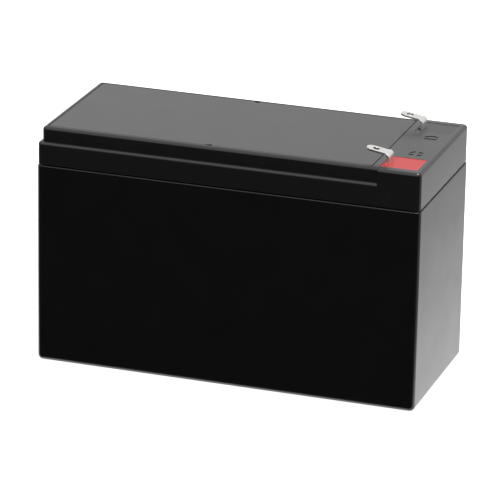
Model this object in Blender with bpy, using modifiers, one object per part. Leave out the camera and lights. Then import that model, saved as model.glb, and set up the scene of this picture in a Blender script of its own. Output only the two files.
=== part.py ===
"""Sealed lead-acid battery of six cells, 151 mm long, 65 mm wide and 94 mm to the top of its lid.

The origin is the middle of the base. +X runs along the length towards the terminals, -Y is the
long face with the positive terminal, and +Z is up. Every size is in metres.
"""

import math

import bmesh
import bpy
from mathutils import Matrix, Vector

GAP = 0.0003  # clearance wherever two pieces meet

# Container
CASE_LENGTH = 0.151
CASE_WIDTH = 0.065
CASE_HEIGHT = 0.094  # base to the top of the lid
CASE_EDGE_RADIUS = 0.0021  # upright and bottom edges
OUTER_WALL = 0.0022
CASE_FLOOR = 0.0022
PARTITION = 0.0015
CELL_COLUMNS = 3
CELL_ROWS = 2

# Lid
LID_HEIGHT = 0.015  # glue line to top
LID_SETBACK = 0.00025  # the lid stands this far inside the container's faces
LEDGE_DEPTH = 0.0014  # step between the lid's lower and upper bands
LEDGE_HEIGHT = 0.009  # height of the lower band above the glue line
TERMINAL_BLOCK_LENGTH = 0.01665  # end of the lid that keeps its full width up to the top
UPPER_CORNER_RADIUS = 0.0016
TOP_EDGE_RADIUS = 0.0012
LIP_DEPTH = 0.002  # how far the lid's lips reach down into each cell
LIP_THICKNESS = 0.0012
POCKET_DEPTH = 0.003  # head room over each cell, above the glue line
DECK_THICKNESS = 0.0022

# Recess for the cover plate, and the chamber under it
RECESS_RIM = 0.0018  # wall between the recess and the upper band's faces
BLOCK_RIM = 0.00265  # land between the recess and the terminal block
PLATE_THICKNESS = 0.0018
PLATE_LEDGE = 0.0014  # width of the shelf that carries the plate
PLATE_CORNER_RADIUS = 0.001
PLATE_EDGE_RADIUS = 0.00025
PRY_NOTCH_RADIUS = 0.0012

# Vents and their rubber valve caps
VENT_BORE_RADIUS = 0.002
VENT_NECK_RADIUS = 0.004
CAP_WALL = 0.0015
CAP_ROOF = 0.0014
CAP_CHAMFER = 0.0005

# Wells around the terminals
WELL_LENGTH = 0.0143
WELL_WIDTH = 0.0128
WELL_END_RIM = 0.0024  # wall between a well and the lid's end face
WELL_SIDE_RIM = 0.0038  # wall between a well and the lid's side face
WELL_CORNER_RADIUS = 0.0006
RESIN_DROP = 0.0003  # resin surface below the lid's top
SEAT_FLOOR = 0.0021  # plastic left under a post seal
SEAL_WALL = 0.0017
SEAL_HEIGHT = 0.002

# Polarity marks sunk into the lid
MARK_RADIUS = 0.0028
MARK_BAR = 0.0013
MARK_DEPTH = 0.0004
MARK_INSET = 0.0028  # from a well's side to the near edge of its mark
MARK_SHIFT = 0.0011  # from the middle of a well towards the lid's end face

# Terminals, bent from flat strip
STRIP_THICKNESS = 0.0008
STRIP_BEND = 0.0015  # radius of the strip's middle line
TAB_WIDTH = 0.00475
TAB_REACH = 0.00915  # leg to tip
TAB_TILT = math.radians(9.35)
TAB_TIP_RADIUS = 0.0019
TAB_HOLE_RADIUS = 0.0013
TAB_HOLE_SETBACK = 0.0036  # tip to hole
SHOULDER_SETBACK = 0.0016  # leg to the shoulder where the tab narrows
LEG_WIDTH = 0.0063
LEG_INSET = 0.002  # well wall to the middle of the leg
LEG_RISE = 0.00187  # lid top to the start of the upper bend
LEG_HOLE_RADIUS = 0.0008
LEG_HOLE_DROP = 0.0017  # lid top down to the hole that anchors the leg in the resin
FOOT_WIDTH = 0.008
FOOT_CORNER_RADIUS = 0.001
FOOT_RISE = 0.0012  # well floor to the underside of the foot
FOOT_PAST_POST = 0.0042

# Lead posts
POST_RADIUS = 0.003
POST_TENON_RADIUS = 0.002
POST_TENON_PROUD = 0.0006
POST_FLANGE_RADIUS = 0.0042
POST_FLANGE_HEIGHT = 0.0015

# Plates, separators and straps in each cell
POSITIVE_PLATE = 0.0024
NEGATIVE_PLATE = 0.0018
SEPARATOR_LEAST = 0.0006  # glass mat at its tightest
PLATE_TOP_DROP = 0.009  # container rim to the plates' top edges
SEPARATOR_STAND = 0.0012  # separator above the plates
STRAP_LENGTH = 0.0125
STRAP_THICKNESS = 0.0042
STRAP_DROP = 0.0028  # container rim to the top of the straps
LUG_WIDTH = 0.008
WELD_RADIUS = 0.0016

# Roundness
EDGE_SEGMENTS = 3
CORNER_SEGMENTS = 4
ROUND_SEGMENTS = 24
BEND_SEGMENTS = 5
SMOOTH_ANGLE = math.radians(35)  # flatter edges than this are shaded smooth
FLAT_ANGLE = math.radians(1)  # faces closer to one plane than this are one face
CUT_MARGIN = 0.004  # how far cutters run past what they cut
SAME_POINT = 0.000003  # points closer than this are one

# Heights that the sizes above give
RIM = CASE_HEIGHT - LID_HEIGHT
GLUE_LINE = RIM + GAP
CEILING = GLUE_LINE + POCKET_DEPTH
DECK_TOP = CEILING + DECK_THICKNESS
PLATE_UNDERSIDE = CASE_HEIGHT - PLATE_THICKNESS
SHELF = PLATE_UNDERSIDE - GAP
CAP_TOP = PLATE_UNDERSIDE - GAP
NECK_TOP = CAP_TOP - CAP_ROOF - GAP
WELL_FLOOR = CEILING + SEAT_FLOOR + GAP + SEAL_HEIGHT
SEAL_SEAT = CEILING + SEAT_FLOOR
RESIN_TOP = CASE_HEIGHT - RESIN_DROP
FOOT_MIDDLE = WELL_FLOOR + FOOT_RISE + STRIP_THICKNESS / 2
PLATE_BOTTOM = CASE_FLOOR + GAP
PLATE_TOP = RIM - PLATE_TOP_DROP
STRAP_TOP = RIM - STRAP_DROP
STRAP_BOTTOM = STRAP_TOP - STRAP_THICKNESS

# Places on plan that the sizes above give
LID_END = CASE_LENGTH / 2 - LID_SETBACK
LID_SIDE = CASE_WIDTH / 2 - LID_SETBACK
LEDGE_END = LID_END - TERMINAL_BLOCK_LENGTH
RECESS_LEFT = -LID_END + LEDGE_DEPTH + RECESS_RIM
RECESS_RIGHT = LEDGE_END - BLOCK_RIM
RECESS_SIDE = LID_SIDE - LEDGE_DEPTH - RECESS_RIM
CHAMBER_LEFT = RECESS_LEFT + PLATE_LEDGE
CHAMBER_RIGHT = RECESS_RIGHT - PLATE_LEDGE
CHAMBER_SIDE = RECESS_SIDE - PLATE_LEDGE
WELL_RIGHT = LID_END - WELL_END_RIM
WELL_LEFT = WELL_RIGHT - WELL_LENGTH
WELL_OUTER = LID_SIDE - WELL_SIDE_RIM
WELL_INNER = WELL_OUTER - WELL_WIDTH
WELL_X = (WELL_LEFT + WELL_RIGHT) / 2
WELL_Y = (WELL_OUTER + WELL_INNER) / 2
LEG_X = WELL_LEFT + LEG_INSET
MARK_X = WELL_X + MARK_SHIFT
MARK_Y = WELL_INNER - MARK_INSET - MARK_RADIUS
CELL_LENGTH = (CASE_LENGTH - 2 * OUTER_WALL - (CELL_COLUMNS - 1) * PARTITION) / CELL_COLUMNS
CELL_WIDTH = (CASE_WIDTH - 2 * OUTER_WALL - (CELL_ROWS - 1) * PARTITION) / CELL_ROWS
CAP_BORE_RADIUS = VENT_NECK_RADIUS + GAP
CAP_RADIUS = CAP_BORE_RADIUS + CAP_WALL
POST_HOLE_RADIUS = POST_RADIUS + GAP
SEAL_RADIUS = POST_HOLE_RADIUS + SEAL_WALL

# The stack of plates across a cell: one more negative plate than positive plates
PAIR_LEAST = POSITIVE_PLATE + NEGATIVE_PLATE + 2 * SEPARATOR_LEAST + 4 * GAP
STACK_ROOM = CELL_WIDTH - NEGATIVE_PLATE - 2 * GAP
PAIRS = int(STACK_ROOM / PAIR_LEAST)
SEPARATOR = (STACK_ROOM / PAIRS - POSITIVE_PLATE - NEGATIVE_PLATE - 4 * GAP) / 2
PAIR_PITCH = STACK_ROOM / PAIRS
ELECTRODE_LENGTH = CELL_LENGTH - 2 * (SEPARATOR + 2 * GAP)

# The cells in the order in which the current passes them: along the front row towards -X, then
# back along the rear row. Each entry is a column and a row, and a turn about the upright.
FRONT_TURN = 0.0
REAR_TURN = math.pi
CELL_PATH = [(column, 0, FRONT_TURN) for column in reversed(range(CELL_COLUMNS))]
CELL_PATH += [(column, 1, REAR_TURN) for column in range(CELL_COLUMNS)]

FINISHES = {
    "case_plastic": ((0.012, 0.012, 0.013), 0.42, 0.0),
    "red_resin": ((0.62, 0.03, 0.03), 0.25, 0.0),
    "black_resin": ((0.01, 0.01, 0.011), 0.25, 0.0),
    "tin_plate": ((0.78, 0.77, 0.74), 0.28, 1.0),
    "lead": ((0.22, 0.23, 0.25), 0.5, 1.0),
    "positive_paste": ((0.09, 0.035, 0.02), 0.9, 0.0),
    "negative_paste": ((0.18, 0.18, 0.19), 0.85, 0.0),
    "glass_mat": ((0.85, 0.85, 0.83), 0.95, 0.0),
    "valve_rubber": ((0.02, 0.02, 0.02), 0.7, 0.0),
}


def clear_scene():
    for found in list(bpy.data.objects):
        bpy.data.objects.remove(found)


def make_collection(name):
    made = bpy.data.collections.new(name)
    bpy.context.scene.collection.children.link(made)
    return made


def make_finish(name):
    """The Principled material of that name in FINISHES."""
    colour, roughness, metallic = FINISHES[name]
    made = bpy.data.materials.new(name)
    made.use_nodes = True
    shader = made.node_tree.nodes["Principled BSDF"]
    shader.inputs["Base Color"].default_value = (*colour, 1)
    shader.inputs["Roughness"].default_value = roughness
    shader.inputs["Metallic"].default_value = metallic
    made.diffuse_color = (*colour, 1)
    return made


def add_box(bm, low, high):
    """Adds a box between two corners."""
    low = Vector(low)
    high = Vector(high)
    place = Matrix.Translation((low + high) / 2) @ Matrix.Diagonal((*(high - low), 1))
    bmesh.ops.create_cube(bm, size=1, matrix=place)


def add_cylinder(bm, centre, radius, length, turn=None):
    """Adds a cylinder about its centre, upright unless it is given a turn."""
    place = Matrix.Translation(centre) @ (turn or Matrix())
    bmesh.ops.create_cone(
        bm, cap_ends=True, segments=ROUND_SEGMENTS, radius1=radius, radius2=radius, depth=length, matrix=place
    )


def boxes(corners):
    """A mesh of separate boxes, one for each pair of corners."""
    bm = bmesh.new()
    for low, high in corners:
        add_box(bm, low, high)
    return bm


def round_edges(bm, edges, radius, segments):
    bmesh.ops.bevel(bm, geom=edges, offset=radius, segments=segments, profile=0.5, affect="EDGES")


def is_upright(edge):
    across = edge.verts[0].co - edge.verts[1].co
    return math.hypot(across.x, across.y) < SAME_POINT


def lies_at(edge, height):
    return all(abs(vert.co.z - height) < SAME_POINT for vert in edge.verts)


def is_sharp_ridge(edge):
    return edge.calc_face_angle_signed(0) > SMOOTH_ANGLE


def mesh_of(name, bm):
    """Turns a bmesh into a mesh shaded smooth but for its sharp edges."""
    mesh = bpy.data.meshes.new(name)
    bm.to_mesh(mesh)
    bm.free()
    mesh.shade_smooth()
    mesh.set_sharp_from_angle(angle=SMOOTH_ANGLE)
    return mesh


def rounded_outline(corners):
    """The points of an outline whose corners, each given as x, y and a radius, are rounded by arcs."""
    points = []
    for index, (x, y, radius) in enumerate(corners):
        corner = Vector((x, y))
        if not radius:
            points.append(corner)
            continue
        before = (Vector(corners[index - 1][:2]) - corner).normalized()
        after = (Vector(corners[(index + 1) % len(corners)][:2]) - corner).normalized()
        half = before.angle(after) / 2
        centre = corner + (before + after).normalized() * radius / math.sin(half)
        start = corner + before * radius / math.tan(half) - centre
        turn = (math.pi - 2 * half) * (1 if before.cross(after) < 0 else -1)
        for step in range(CORNER_SEGMENTS + 1):
            points.append(centre + Matrix.Rotation(turn * step / CORNER_SEGMENTS, 2) @ start)
    return points


def outline_mesh(name, points, bottom, top):
    """A mesh of a flat outline that is thickened from bottom to top."""
    curve = bpy.data.curves.new(name, "CURVE")
    curve.dimensions = "2D"
    curve.fill_mode = "BOTH"
    curve.extrude = (top - bottom) / 2
    spline = curve.splines.new("POLY")
    spline.points.add(len(points) - 1)
    spline.use_cyclic_u = True
    for point, place in zip(spline.points, points):
        point.co = (place.x, place.y, 0, 1)
    flat = bpy.data.objects.new(name, curve)
    bpy.context.scene.collection.objects.link(flat)
    bpy.context.view_layer.update()
    loose = bpy.data.meshes.new_from_object(flat.evaluated_get(bpy.context.evaluated_depsgraph_get()))
    bm = bmesh.new()
    bm.from_mesh(loose)
    bmesh.ops.remove_doubles(bm, verts=bm.verts, dist=SAME_POINT / 10)
    bmesh.ops.translate(bm, verts=bm.verts, vec=(0, 0, (bottom + top) / 2))
    bpy.data.objects.remove(flat)
    bpy.data.curves.remove(curve)
    bpy.data.meshes.remove(loose)
    return bm


class Bench:
    """The collections, finishes and empty that the pieces share."""

    def __init__(self):
        self.pieces = make_collection("battery")
        self.cutters = make_collection("cutters")
        self.finishes = {name: make_finish(name) for name in FINISHES}
        self.frame = bpy.data.objects.new("battery_frame", None)
        self.pieces.objects.link(self.frame)

    def piece(self, name, mesh, finish, place=(0, 0, 0), turn=0.0):
        """Adds a named piece at its place, turned about the upright."""
        if not mesh.materials:
            mesh.materials.append(self.finishes[finish])
        made = bpy.data.objects.new(name, mesh)
        made.parent = self.frame
        made.location = place
        made.rotation_euler.z = turn
        self.pieces.objects.link(made)
        return made

    def helper(self, name, bm):
        """Adds a shape that only cuts or joins others."""
        made = bpy.data.objects.new(name, mesh_of(name, bm))
        made.hide_render = True
        made.display_type = "WIRE"
        self.cutters.objects.link(made)
        return made

    def shape(self, piece, operation, name, bm):
        """Cuts, joins or trims a piece by a helper. Returns the helper."""
        helper = self.helper(name, bm)
        modifier = piece.modifiers.new(name, "BOOLEAN")
        modifier.operation = operation
        modifier.object = helper
        return helper

    def settle(self, piece):
        """Replaces a piece's mesh by the one its modifiers give."""
        bpy.context.view_layer.update()
        graph = bpy.context.evaluated_depsgraph_get()
        settled = bpy.data.meshes.new_from_object(piece.evaluated_get(graph))
        piece.modifiers.clear()
        piece.data = settled
        return piece

    def turned(self, name, profile, finish, place, closed=False):
        """Adds a turned piece. Its profile, as radius and height, runs down its outer side."""
        mesh = bpy.data.meshes.new(name)
        edges = [(index, index + 1) for index in range(len(profile) - 1)]
        if closed:
            edges.append((len(profile) - 1, 0))
        mesh.from_pydata([(radius, 0, height) for radius, height in profile], edges, [])
        made = self.piece(name, mesh, finish, place)
        screw = made.modifiers.new("turning", "SCREW")
        screw.steps = ROUND_SEGMENTS
        screw.render_steps = ROUND_SEGMENTS
        screw.use_merge_vertices = True
        screw.merge_threshold = SAME_POINT
        return made


def cell_centre(column, row):
    x = (column - (CELL_COLUMNS - 1) / 2) * (CELL_LENGTH + PARTITION)
    y = (row - (CELL_ROWS - 1) / 2) * (CELL_WIDTH + PARTITION)
    return Vector((x, y, 0))


def cell_boxes(inset, bottom, top):
    """One box over each cell, drawn in from the cell's walls by the inset."""
    half = Vector((CELL_LENGTH / 2 - inset, CELL_WIDTH / 2 - inset, 0))
    corners = []
    for column, row, _ in CELL_PATH:
        centre = cell_centre(column, row)
        corners.append((centre - half + Vector((0, 0, bottom)), centre + half + Vector((0, 0, top))))
    return boxes(corners)


def strap_centre(column, row, side):
    """Middle of the strap at the +X or -X end of a cell, at half the straps' height."""
    reach = CELL_LENGTH / 2 - GAP - STRAP_LENGTH / 2
    return cell_centre(column, row) + Vector((side * reach, 0, (STRAP_TOP + STRAP_BOTTOM) / 2))


def weld_places():
    """Middle of each weld between neighbouring cells, and whether it runs along X or Y."""
    places = []
    for here, there in zip(CELL_PATH, CELL_PATH[1:]):
        middle = (cell_centre(*here[:2]) + cell_centre(*there[:2])) / 2
        along_x = here[1] == there[1]
        if not along_x:
            middle.x = strap_centre(*here[:2], -1).x
        middle.z = (STRAP_TOP + STRAP_BOTTOM) / 2
        places.append((middle, along_x))
    return places


def lying_turn(along_x):
    """The turn that lays an upright cylinder along X or along Y."""
    return Matrix.Rotation(math.pi / 2, 4, "Y" if along_x else "X")


def vent_places():
    """Middle of each vent: over its cell, or as near to it as the chamber's wall lets a cap stand."""
    furthest = CHAMBER_RIGHT - CAP_RADIUS - GAP
    places = []
    for column, row, _ in CELL_PATH:
        centre = cell_centre(column, row)
        places.append(Vector((min(centre.x, furthest), centre.y, DECK_TOP)))
    return places


def cylinders(places, radius, bottom, top):
    """A mesh of upright cylinders between two heights."""
    bm = bmesh.new()
    for place in places:
        add_cylinder(bm, (place[0], place[1], (bottom + top) / 2), radius, top - bottom)
    return bm


def make_container(bench):
    """Open box with six cells, rounded on its upright and bottom edges."""
    bm = boxes([((-CASE_LENGTH / 2, -CASE_WIDTH / 2, 0), (CASE_LENGTH / 2, CASE_WIDTH / 2, RIM))])
    edges = [edge for edge in bm.edges if is_upright(edge) or lies_at(edge, 0)]
    round_edges(bm, edges, CASE_EDGE_RADIUS, EDGE_SEGMENTS)
    container = bench.piece("container", mesh_of("container", bm), "case_plastic")
    bench.shape(container, "DIFFERENCE", "cells", cell_boxes(0, CASE_FLOOR, RIM + CUT_MARGIN))
    holes = bmesh.new()
    for middle, along_x in weld_places():
        add_cylinder(holes, middle, WELD_RADIUS + GAP, PARTITION + CUT_MARGIN, lying_turn(along_x))
    bench.shape(container, "DIFFERENCE", "weld_holes", holes)


def ledge_outline():
    """The plan of what is cut away above the ledge, open towards the terminal block."""
    inner_x = -LID_END + LEDGE_DEPTH
    inner_y = LID_SIDE - LEDGE_DEPTH
    outer_x = -LID_END - CUT_MARGIN
    outer_y = LID_SIDE + CUT_MARGIN
    return rounded_outline(
        [
            (LEDGE_END, -outer_y, 0),
            (LEDGE_END, -inner_y, 0),
            (inner_x, -inner_y, UPPER_CORNER_RADIUS),
            (inner_x, inner_y, UPPER_CORNER_RADIUS),
            (LEDGE_END, inner_y, 0),
            (LEDGE_END, outer_y, 0),
            (outer_x, outer_y, 0),
            (outer_x, -outer_y, 0),
        ]
    )


def lid_blank(bench):
    """The lid's outside: a rounded block with the ledge cut and its top edges rounded."""
    low = (-LID_END, -LID_SIDE, GLUE_LINE - CUT_MARGIN)
    bm = boxes([(low, (LID_END, LID_SIDE, CASE_HEIGHT))])
    uprights = [edge for edge in bm.edges if is_upright(edge)]
    round_edges(bm, uprights, CASE_EDGE_RADIUS - LID_SETBACK, CORNER_SEGMENTS)
    lid = bench.piece("lid", mesh_of("lid", bm), "case_plastic")
    ledge = GLUE_LINE + LEDGE_HEIGHT
    step = outline_mesh("ledge_step", ledge_outline(), ledge, CASE_HEIGHT + CUT_MARGIN)
    bench.shape(lid, "DIFFERENCE", "ledge_step", step)
    bench.settle(lid)
    bm = bmesh.new()
    bm.from_mesh(lid.data)
    bmesh.ops.dissolve_limit(bm, angle_limit=FLAT_ANGLE, verts=bm.verts, edges=bm.edges)
    top_edges = [edge for edge in bm.edges if lies_at(edge, CASE_HEIGHT) and is_sharp_ridge(edge)]
    round_edges(bm, top_edges, TOP_EDGE_RADIUS, EDGE_SEGMENTS)
    bm.to_mesh(lid.data)
    bm.free()
    return lid


def make_lid(bench):
    lid = lid_blank(bench)
    below = boxes([((-CASE_LENGTH, -CASE_WIDTH, 0), (CASE_LENGTH, CASE_WIDTH, GLUE_LINE))])
    bench.shape(lid, "DIFFERENCE", "lid_underside", below)
    bench.shape(lid, "UNION", "lips", cell_boxes(GAP, RIM - LIP_DEPTH, CEILING - POCKET_DEPTH / 2))
    pockets = cell_boxes(GAP + LIP_THICKNESS, RIM - LIP_DEPTH - CUT_MARGIN, CEILING)
    bench.shape(lid, "DIFFERENCE", "pockets", pockets)
    above = CASE_HEIGHT + CUT_MARGIN
    recess_low = (RECESS_LEFT, -RECESS_SIDE, SHELF)
    bench.shape(lid, "DIFFERENCE", "recess", boxes([(recess_low, (RECESS_RIGHT, RECESS_SIDE, above))]))
    chamber_low = (CHAMBER_LEFT, -CHAMBER_SIDE, DECK_TOP)
    chamber_high = (CHAMBER_RIGHT, CHAMBER_SIDE, SHELF + PLATE_THICKNESS / 2)
    bench.shape(lid, "DIFFERENCE", "chamber", boxes([(chamber_low, chamber_high)]))
    vents = vent_places()
    necks = cylinders(vents, VENT_NECK_RADIUS, DECK_TOP - DECK_THICKNESS / 2, NECK_TOP)
    bench.shape(lid, "UNION", "necks", necks)
    bores = cylinders(vents, VENT_BORE_RADIUS, CEILING - CUT_MARGIN, NECK_TOP + CUT_MARGIN)
    bench.shape(lid, "DIFFERENCE", "vent_bores", bores)
    posts = [(WELL_X, side * WELL_Y) for side in (-1, 1)]
    for side, name in ((-1, "positive"), (1, "negative")):
        outline = well_outline(side, 0)
        well = outline_mesh(f"{name}_well", outline, WELL_FLOOR, above)
        bench.shape(lid, "DIFFERENCE", f"{name}_well", well)
    seats = cylinders(posts, SEAL_RADIUS + GAP, SEAL_SEAT, WELL_FLOOR + CUT_MARGIN)
    bench.shape(lid, "DIFFERENCE", "seal_seats", seats)
    holes = cylinders(posts, POST_HOLE_RADIUS, CEILING - CUT_MARGIN, SEAL_SEAT + SEAL_HEIGHT)
    bench.shape(lid, "DIFFERENCE", "post_holes", holes)
    for side, name in ((-1, "plus"), (1, "minus")):
        disc = bench.shape(lid, "DIFFERENCE", f"{name}_mark", mark_disc(side))
        bench.shape(disc, "DIFFERENCE", f"{name}_bar", mark_bar(side, along_x=True))
        if name == "plus":
            bench.shape(disc, "DIFFERENCE", "plus_upright", mark_bar(side, along_x=False))


def mark_disc(side):
    """The round recess of a polarity mark."""
    place = (MARK_X, side * MARK_Y)
    return cylinders([place], MARK_RADIUS, CASE_HEIGHT - MARK_DEPTH, CASE_HEIGHT + CUT_MARGIN)


def mark_bar(side, along_x):
    """A bar that is left standing across a polarity mark."""
    half = Vector((MARK_RADIUS + CUT_MARGIN, MARK_BAR / 2, CUT_MARGIN * 2))
    if not along_x:
        half = half.yxz
    centre = Vector((MARK_X, side * MARK_Y, CASE_HEIGHT))
    return boxes([(centre - half, centre + half)])


def well_outline(side, inset):
    """The plan of a well, drawn in from its walls by the inset."""
    half_x = WELL_LENGTH / 2 - inset
    half_y = WELL_WIDTH / 2 - inset
    middle = side * WELL_Y
    return rounded_outline(
        [
            (WELL_X - half_x, middle - half_y, WELL_CORNER_RADIUS),
            (WELL_X + half_x, middle - half_y, WELL_CORNER_RADIUS),
            (WELL_X + half_x, middle + half_y, WELL_CORNER_RADIUS),
            (WELL_X - half_x, middle + half_y, WELL_CORNER_RADIUS),
        ]
    )


def make_cover_plate(bench):
    """Flat plate that closes the chamber, with a pry notch in the middle of each long edge."""
    left = RECESS_LEFT + GAP
    right = RECESS_RIGHT - GAP
    side = RECESS_SIDE - GAP
    bm = boxes([((left, -side, PLATE_UNDERSIDE), (right, side, CASE_HEIGHT))])
    round_edges(bm, [edge for edge in bm.edges if is_upright(edge)], PLATE_CORNER_RADIUS, EDGE_SEGMENTS)
    round_edges(bm, [edge for edge in bm.edges if lies_at(edge, CASE_HEIGHT)], PLATE_EDGE_RADIUS, 1)
    plate = bench.piece("cover_plate", mesh_of("cover_plate", bm), "case_plastic")
    middle = (left + right) / 2
    notches = cylinders(
        [(middle, -side), (middle, side)],
        PRY_NOTCH_RADIUS,
        PLATE_UNDERSIDE - CUT_MARGIN,
        CASE_HEIGHT + CUT_MARGIN,
    )
    bench.shape(plate, "DIFFERENCE", "pry_notches", notches)


def make_vent_caps(bench):
    """A rubber cap over each vent neck, open at the bottom, which lifts to let gas out."""
    bottom = GAP
    top = CAP_TOP - DECK_TOP
    profile = [
        (0, top),
        (CAP_RADIUS - CAP_CHAMFER, top),
        (CAP_RADIUS, top - CAP_CHAMFER),
        (CAP_RADIUS, bottom),
        (CAP_BORE_RADIUS, bottom),
        (CAP_BORE_RADIUS, top - CAP_ROOF),
        (0, top - CAP_ROOF),
    ]
    for number, place in enumerate(vent_places(), 1):
        bench.turned(f"vent_cap_{number}", profile, "valve_rubber", place)


def strip_path():
    """The middle line of a terminal's strip, from the end of its foot to past its tip.

    The leg stands at x = 0 and the foot lies at height 0.
    """
    foot_end = WELL_X - LEG_X + FOOT_PAST_POST
    leg_top = CASE_HEIGHT + LEG_RISE - FOOT_MIDDLE
    path = [Vector((foot_end + CUT_MARGIN, 0, 0))]
    for step in range(BEND_SEGMENTS + 1):
        angle = math.radians(-90 - 90 * step / BEND_SEGMENTS)
        path.append(Vector((1 + math.cos(angle), 0, 1 + math.sin(angle))) * STRIP_BEND)
    for step in range(BEND_SEGMENTS + 1):
        angle = (math.pi / 2 - TAB_TILT) * step / BEND_SEGMENTS
        bend = Vector((math.cos(angle) - 1, 0, math.sin(angle))) * STRIP_BEND
        path.append(Vector((0, 0, leg_top)) + bend)
    run = (TAB_REACH + path[-1].x) / math.cos(TAB_TILT) + CUT_MARGIN
    path.append(path[-1] + Vector((-math.cos(TAB_TILT), 0, math.sin(TAB_TILT))) * run)
    return path


def strip_outline():
    """The plan of a terminal: wide foot, leg, shoulder and rounded tab."""
    foot_end = WELL_X - LEG_X + FOOT_PAST_POST
    foot_start = STRIP_THICKNESS + STRIP_BEND / 2
    tab = TAB_WIDTH / 2
    leg = LEG_WIDTH / 2
    foot = FOOT_WIDTH / 2
    shoulder = -SHOULDER_SETBACK
    half = [
        (-TAB_REACH, tab, TAB_TIP_RADIUS),
        (shoulder, tab, 0),
        (shoulder + (leg - tab), leg, 0),
        (foot_start, leg, 0),
        (foot_start, foot, 0),
        (foot_end, foot, FOOT_CORNER_RADIUS),
    ]
    mirrored = [(x, -y, radius) for x, y, radius in reversed(half)]
    return rounded_outline(list(reversed(half)) + list(reversed(mirrored)))


def strip_point(reach):
    """The point on the tab's middle line that lies this far from the leg."""
    start = strip_path()[-2]
    return Vector((-reach, 0, start.z + (reach + start.x) * math.tan(TAB_TILT)))


def make_terminals(bench):
    """The two bent strips, alike: foot on the post, leg up through the resin, tab along -X."""
    bm = bmesh.new()
    verts = [bm.verts.new(point - Vector((0, FOOT_WIDTH, 0))) for point in strip_path()]
    edges = [bm.edges.new(pair) for pair in zip(verts, verts[1:])]
    made = bmesh.ops.extrude_edge_only(bm, edges=edges)
    moved = [item for item in made["geom"] if isinstance(item, bmesh.types.BMVert)]
    bmesh.ops.translate(bm, verts=moved, vec=(0, 2 * FOOT_WIDTH, 0))
    strip = bench.piece("positive_terminal", mesh_of("terminal", bm), "tin_plate")
    sheet = strip.modifiers.new("thickness", "SOLIDIFY")
    sheet.thickness = STRIP_THICKNESS
    sheet.offset = 0
    sheet.use_even_offset = True
    height = CASE_HEIGHT + CUT_MARGIN
    trim = outline_mesh("terminal_plan", strip_outline(), -CUT_MARGIN, height)
    bench.shape(strip, "INTERSECT", "terminal_plan", trim)
    holes = bmesh.new()
    add_cylinder(holes, strip_point(TAB_REACH - TAB_HOLE_SETBACK), TAB_HOLE_RADIUS, CUT_MARGIN)
    leg_hole = Vector((0, 0, CASE_HEIGHT - LEG_HOLE_DROP - FOOT_MIDDLE))
    add_cylinder(holes, leg_hole, LEG_HOLE_RADIUS, CUT_MARGIN / 2, lying_turn(along_x=True))
    add_cylinder(holes, Vector((WELL_X - LEG_X, 0, 0)), POST_TENON_RADIUS + GAP, CUT_MARGIN)
    bench.shape(strip, "DIFFERENCE", "terminal_holes", holes)
    bench.settle(strip)
    strip.location = (LEG_X, -WELL_Y, FOOT_MIDDLE)
    bench.piece("negative_terminal", strip.data, "tin_plate", (LEG_X, WELL_Y, FOOT_MIDDLE))


def make_resin(bench, name, side):
    """Cast resin that fills a well around the terminal's foot and leg and the head of the post."""
    bm = outline_mesh(name, well_outline(side, GAP), WELL_FLOOR + GAP, RESIN_TOP)
    resin = bench.piece(name, mesh_of(name, bm), "red_resin" if side < 0 else "black_resin")
    middle = side * WELL_Y
    around = STRIP_THICKNESS / 2 + GAP
    leg_half = LEG_WIDTH / 2 + GAP
    foot_half = FOOT_WIDTH / 2 + GAP
    foot_end = WELL_X + FOOT_PAST_POST + GAP
    leg_low = (LEG_X - around, middle - leg_half, FOOT_MIDDLE - around)
    leg_high = (LEG_X + around, middle + leg_half, RESIN_TOP + CUT_MARGIN)
    bend_high = (LEG_X + STRIP_BEND + around, middle + leg_half, FOOT_MIDDLE + STRIP_BEND + around)
    foot_low = (LEG_X + around, middle - foot_half, FOOT_MIDDLE - around)
    foot_high = (foot_end, middle + foot_half, FOOT_MIDDLE + around)
    bench.shape(resin, "DIFFERENCE", f"{name}_leg_slot", boxes([(leg_low, leg_high)]))
    bench.shape(resin, "DIFFERENCE", f"{name}_bend", boxes([(leg_low, bend_high)]))
    bench.shape(resin, "DIFFERENCE", f"{name}_foot", boxes([(foot_low, foot_high)]))
    post = [(WELL_X, middle)]
    tenon_top = FOOT_MIDDLE + STRIP_THICKNESS / 2 + POST_TENON_PROUD + GAP
    tenon = cylinders(post, POST_TENON_RADIUS + GAP, FOOT_MIDDLE, tenon_top)
    bench.shape(resin, "DIFFERENCE", f"{name}_tenon", tenon)
    neck = cylinders(post, POST_HOLE_RADIUS, WELL_FLOOR - CUT_MARGIN, FOOT_MIDDLE)
    bench.shape(resin, "DIFFERENCE", f"{name}_post", neck)


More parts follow.
